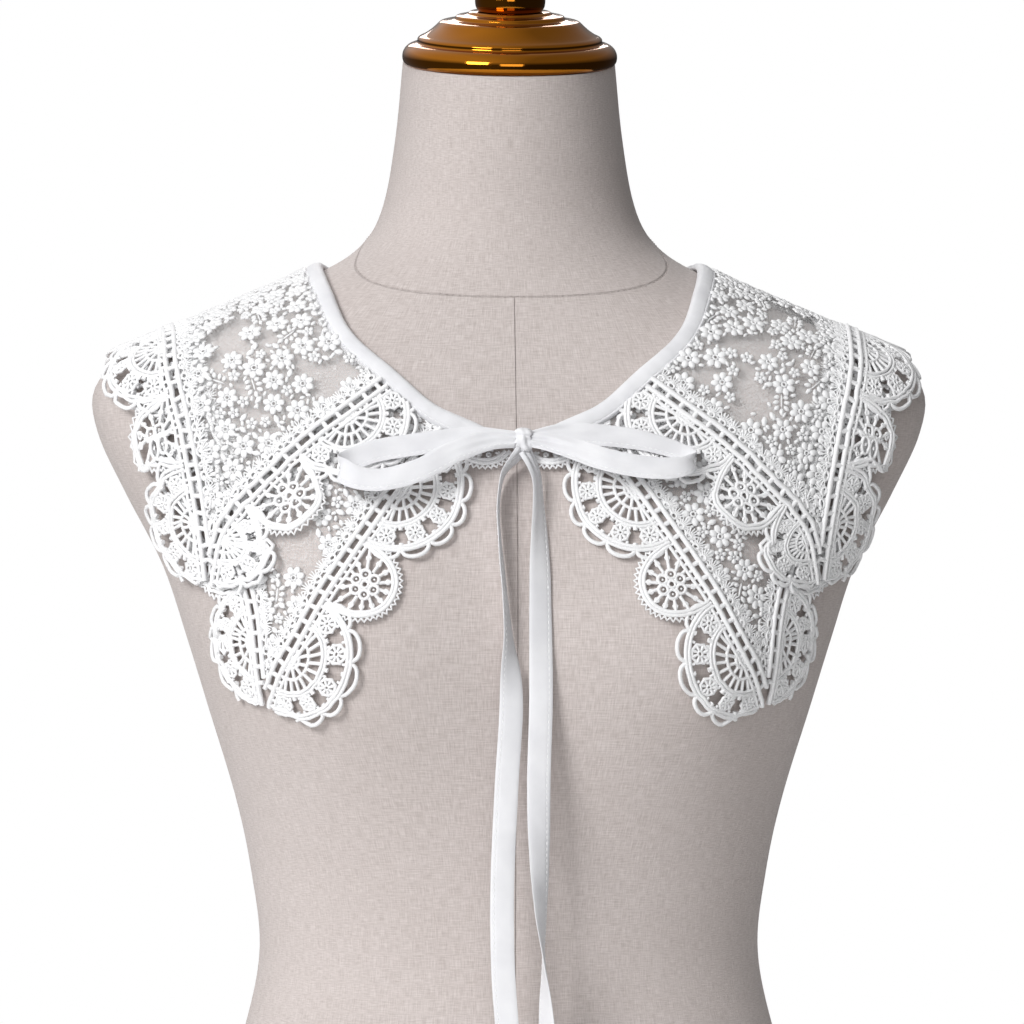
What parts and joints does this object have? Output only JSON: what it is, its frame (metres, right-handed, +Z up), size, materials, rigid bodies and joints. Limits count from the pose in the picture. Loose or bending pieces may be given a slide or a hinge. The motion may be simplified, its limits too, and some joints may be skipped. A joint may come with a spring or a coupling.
{
  "type": "lace collar on a dress form",
  "caption": "Layered lace collar with scalloped openwork edges and a tied tape bow, lying on a limbless linen dress form with a turned metal neck cap",
  "frame": {"origin": "middle of the bounding box, at the underside of the dress form", "axes": "+Z up, the chest faces -Y, +X is the wearer's left"},
  "size_m": [0.4058, 0.24, 0.6902],
  "materials": {
    "linen": "plain woven linen, matt",
    "gilt": "polished gilt metal",
    "net": "sheer net with raised white embroidery",
    "lace": "openwork lace of thick matt cotton thread",
    "tape": "folded and stitched cotton tape"
  },
  "bodies": {
    "root": {"dress_form": "linen", "neck_cap": "gilt", "finial": "gilt", "lower_net": "net", "lower_front_lace_left": "lace", "lower_front_lace_right": "lace", "lower_outer_lace": "lace", "upper_net": "net", "upper_front_lace_left": "lace", "upper_front_lace_right": "lace", "upper_outer_lace": "lace", "neck_binding": "tape", "bow_loop_left": "tape", "bow_loop_right": "tape", "bow_knot": "tape", "tie_end_left": "tape", "tie_end_right": "tape"}
  },
  "joints": []
}
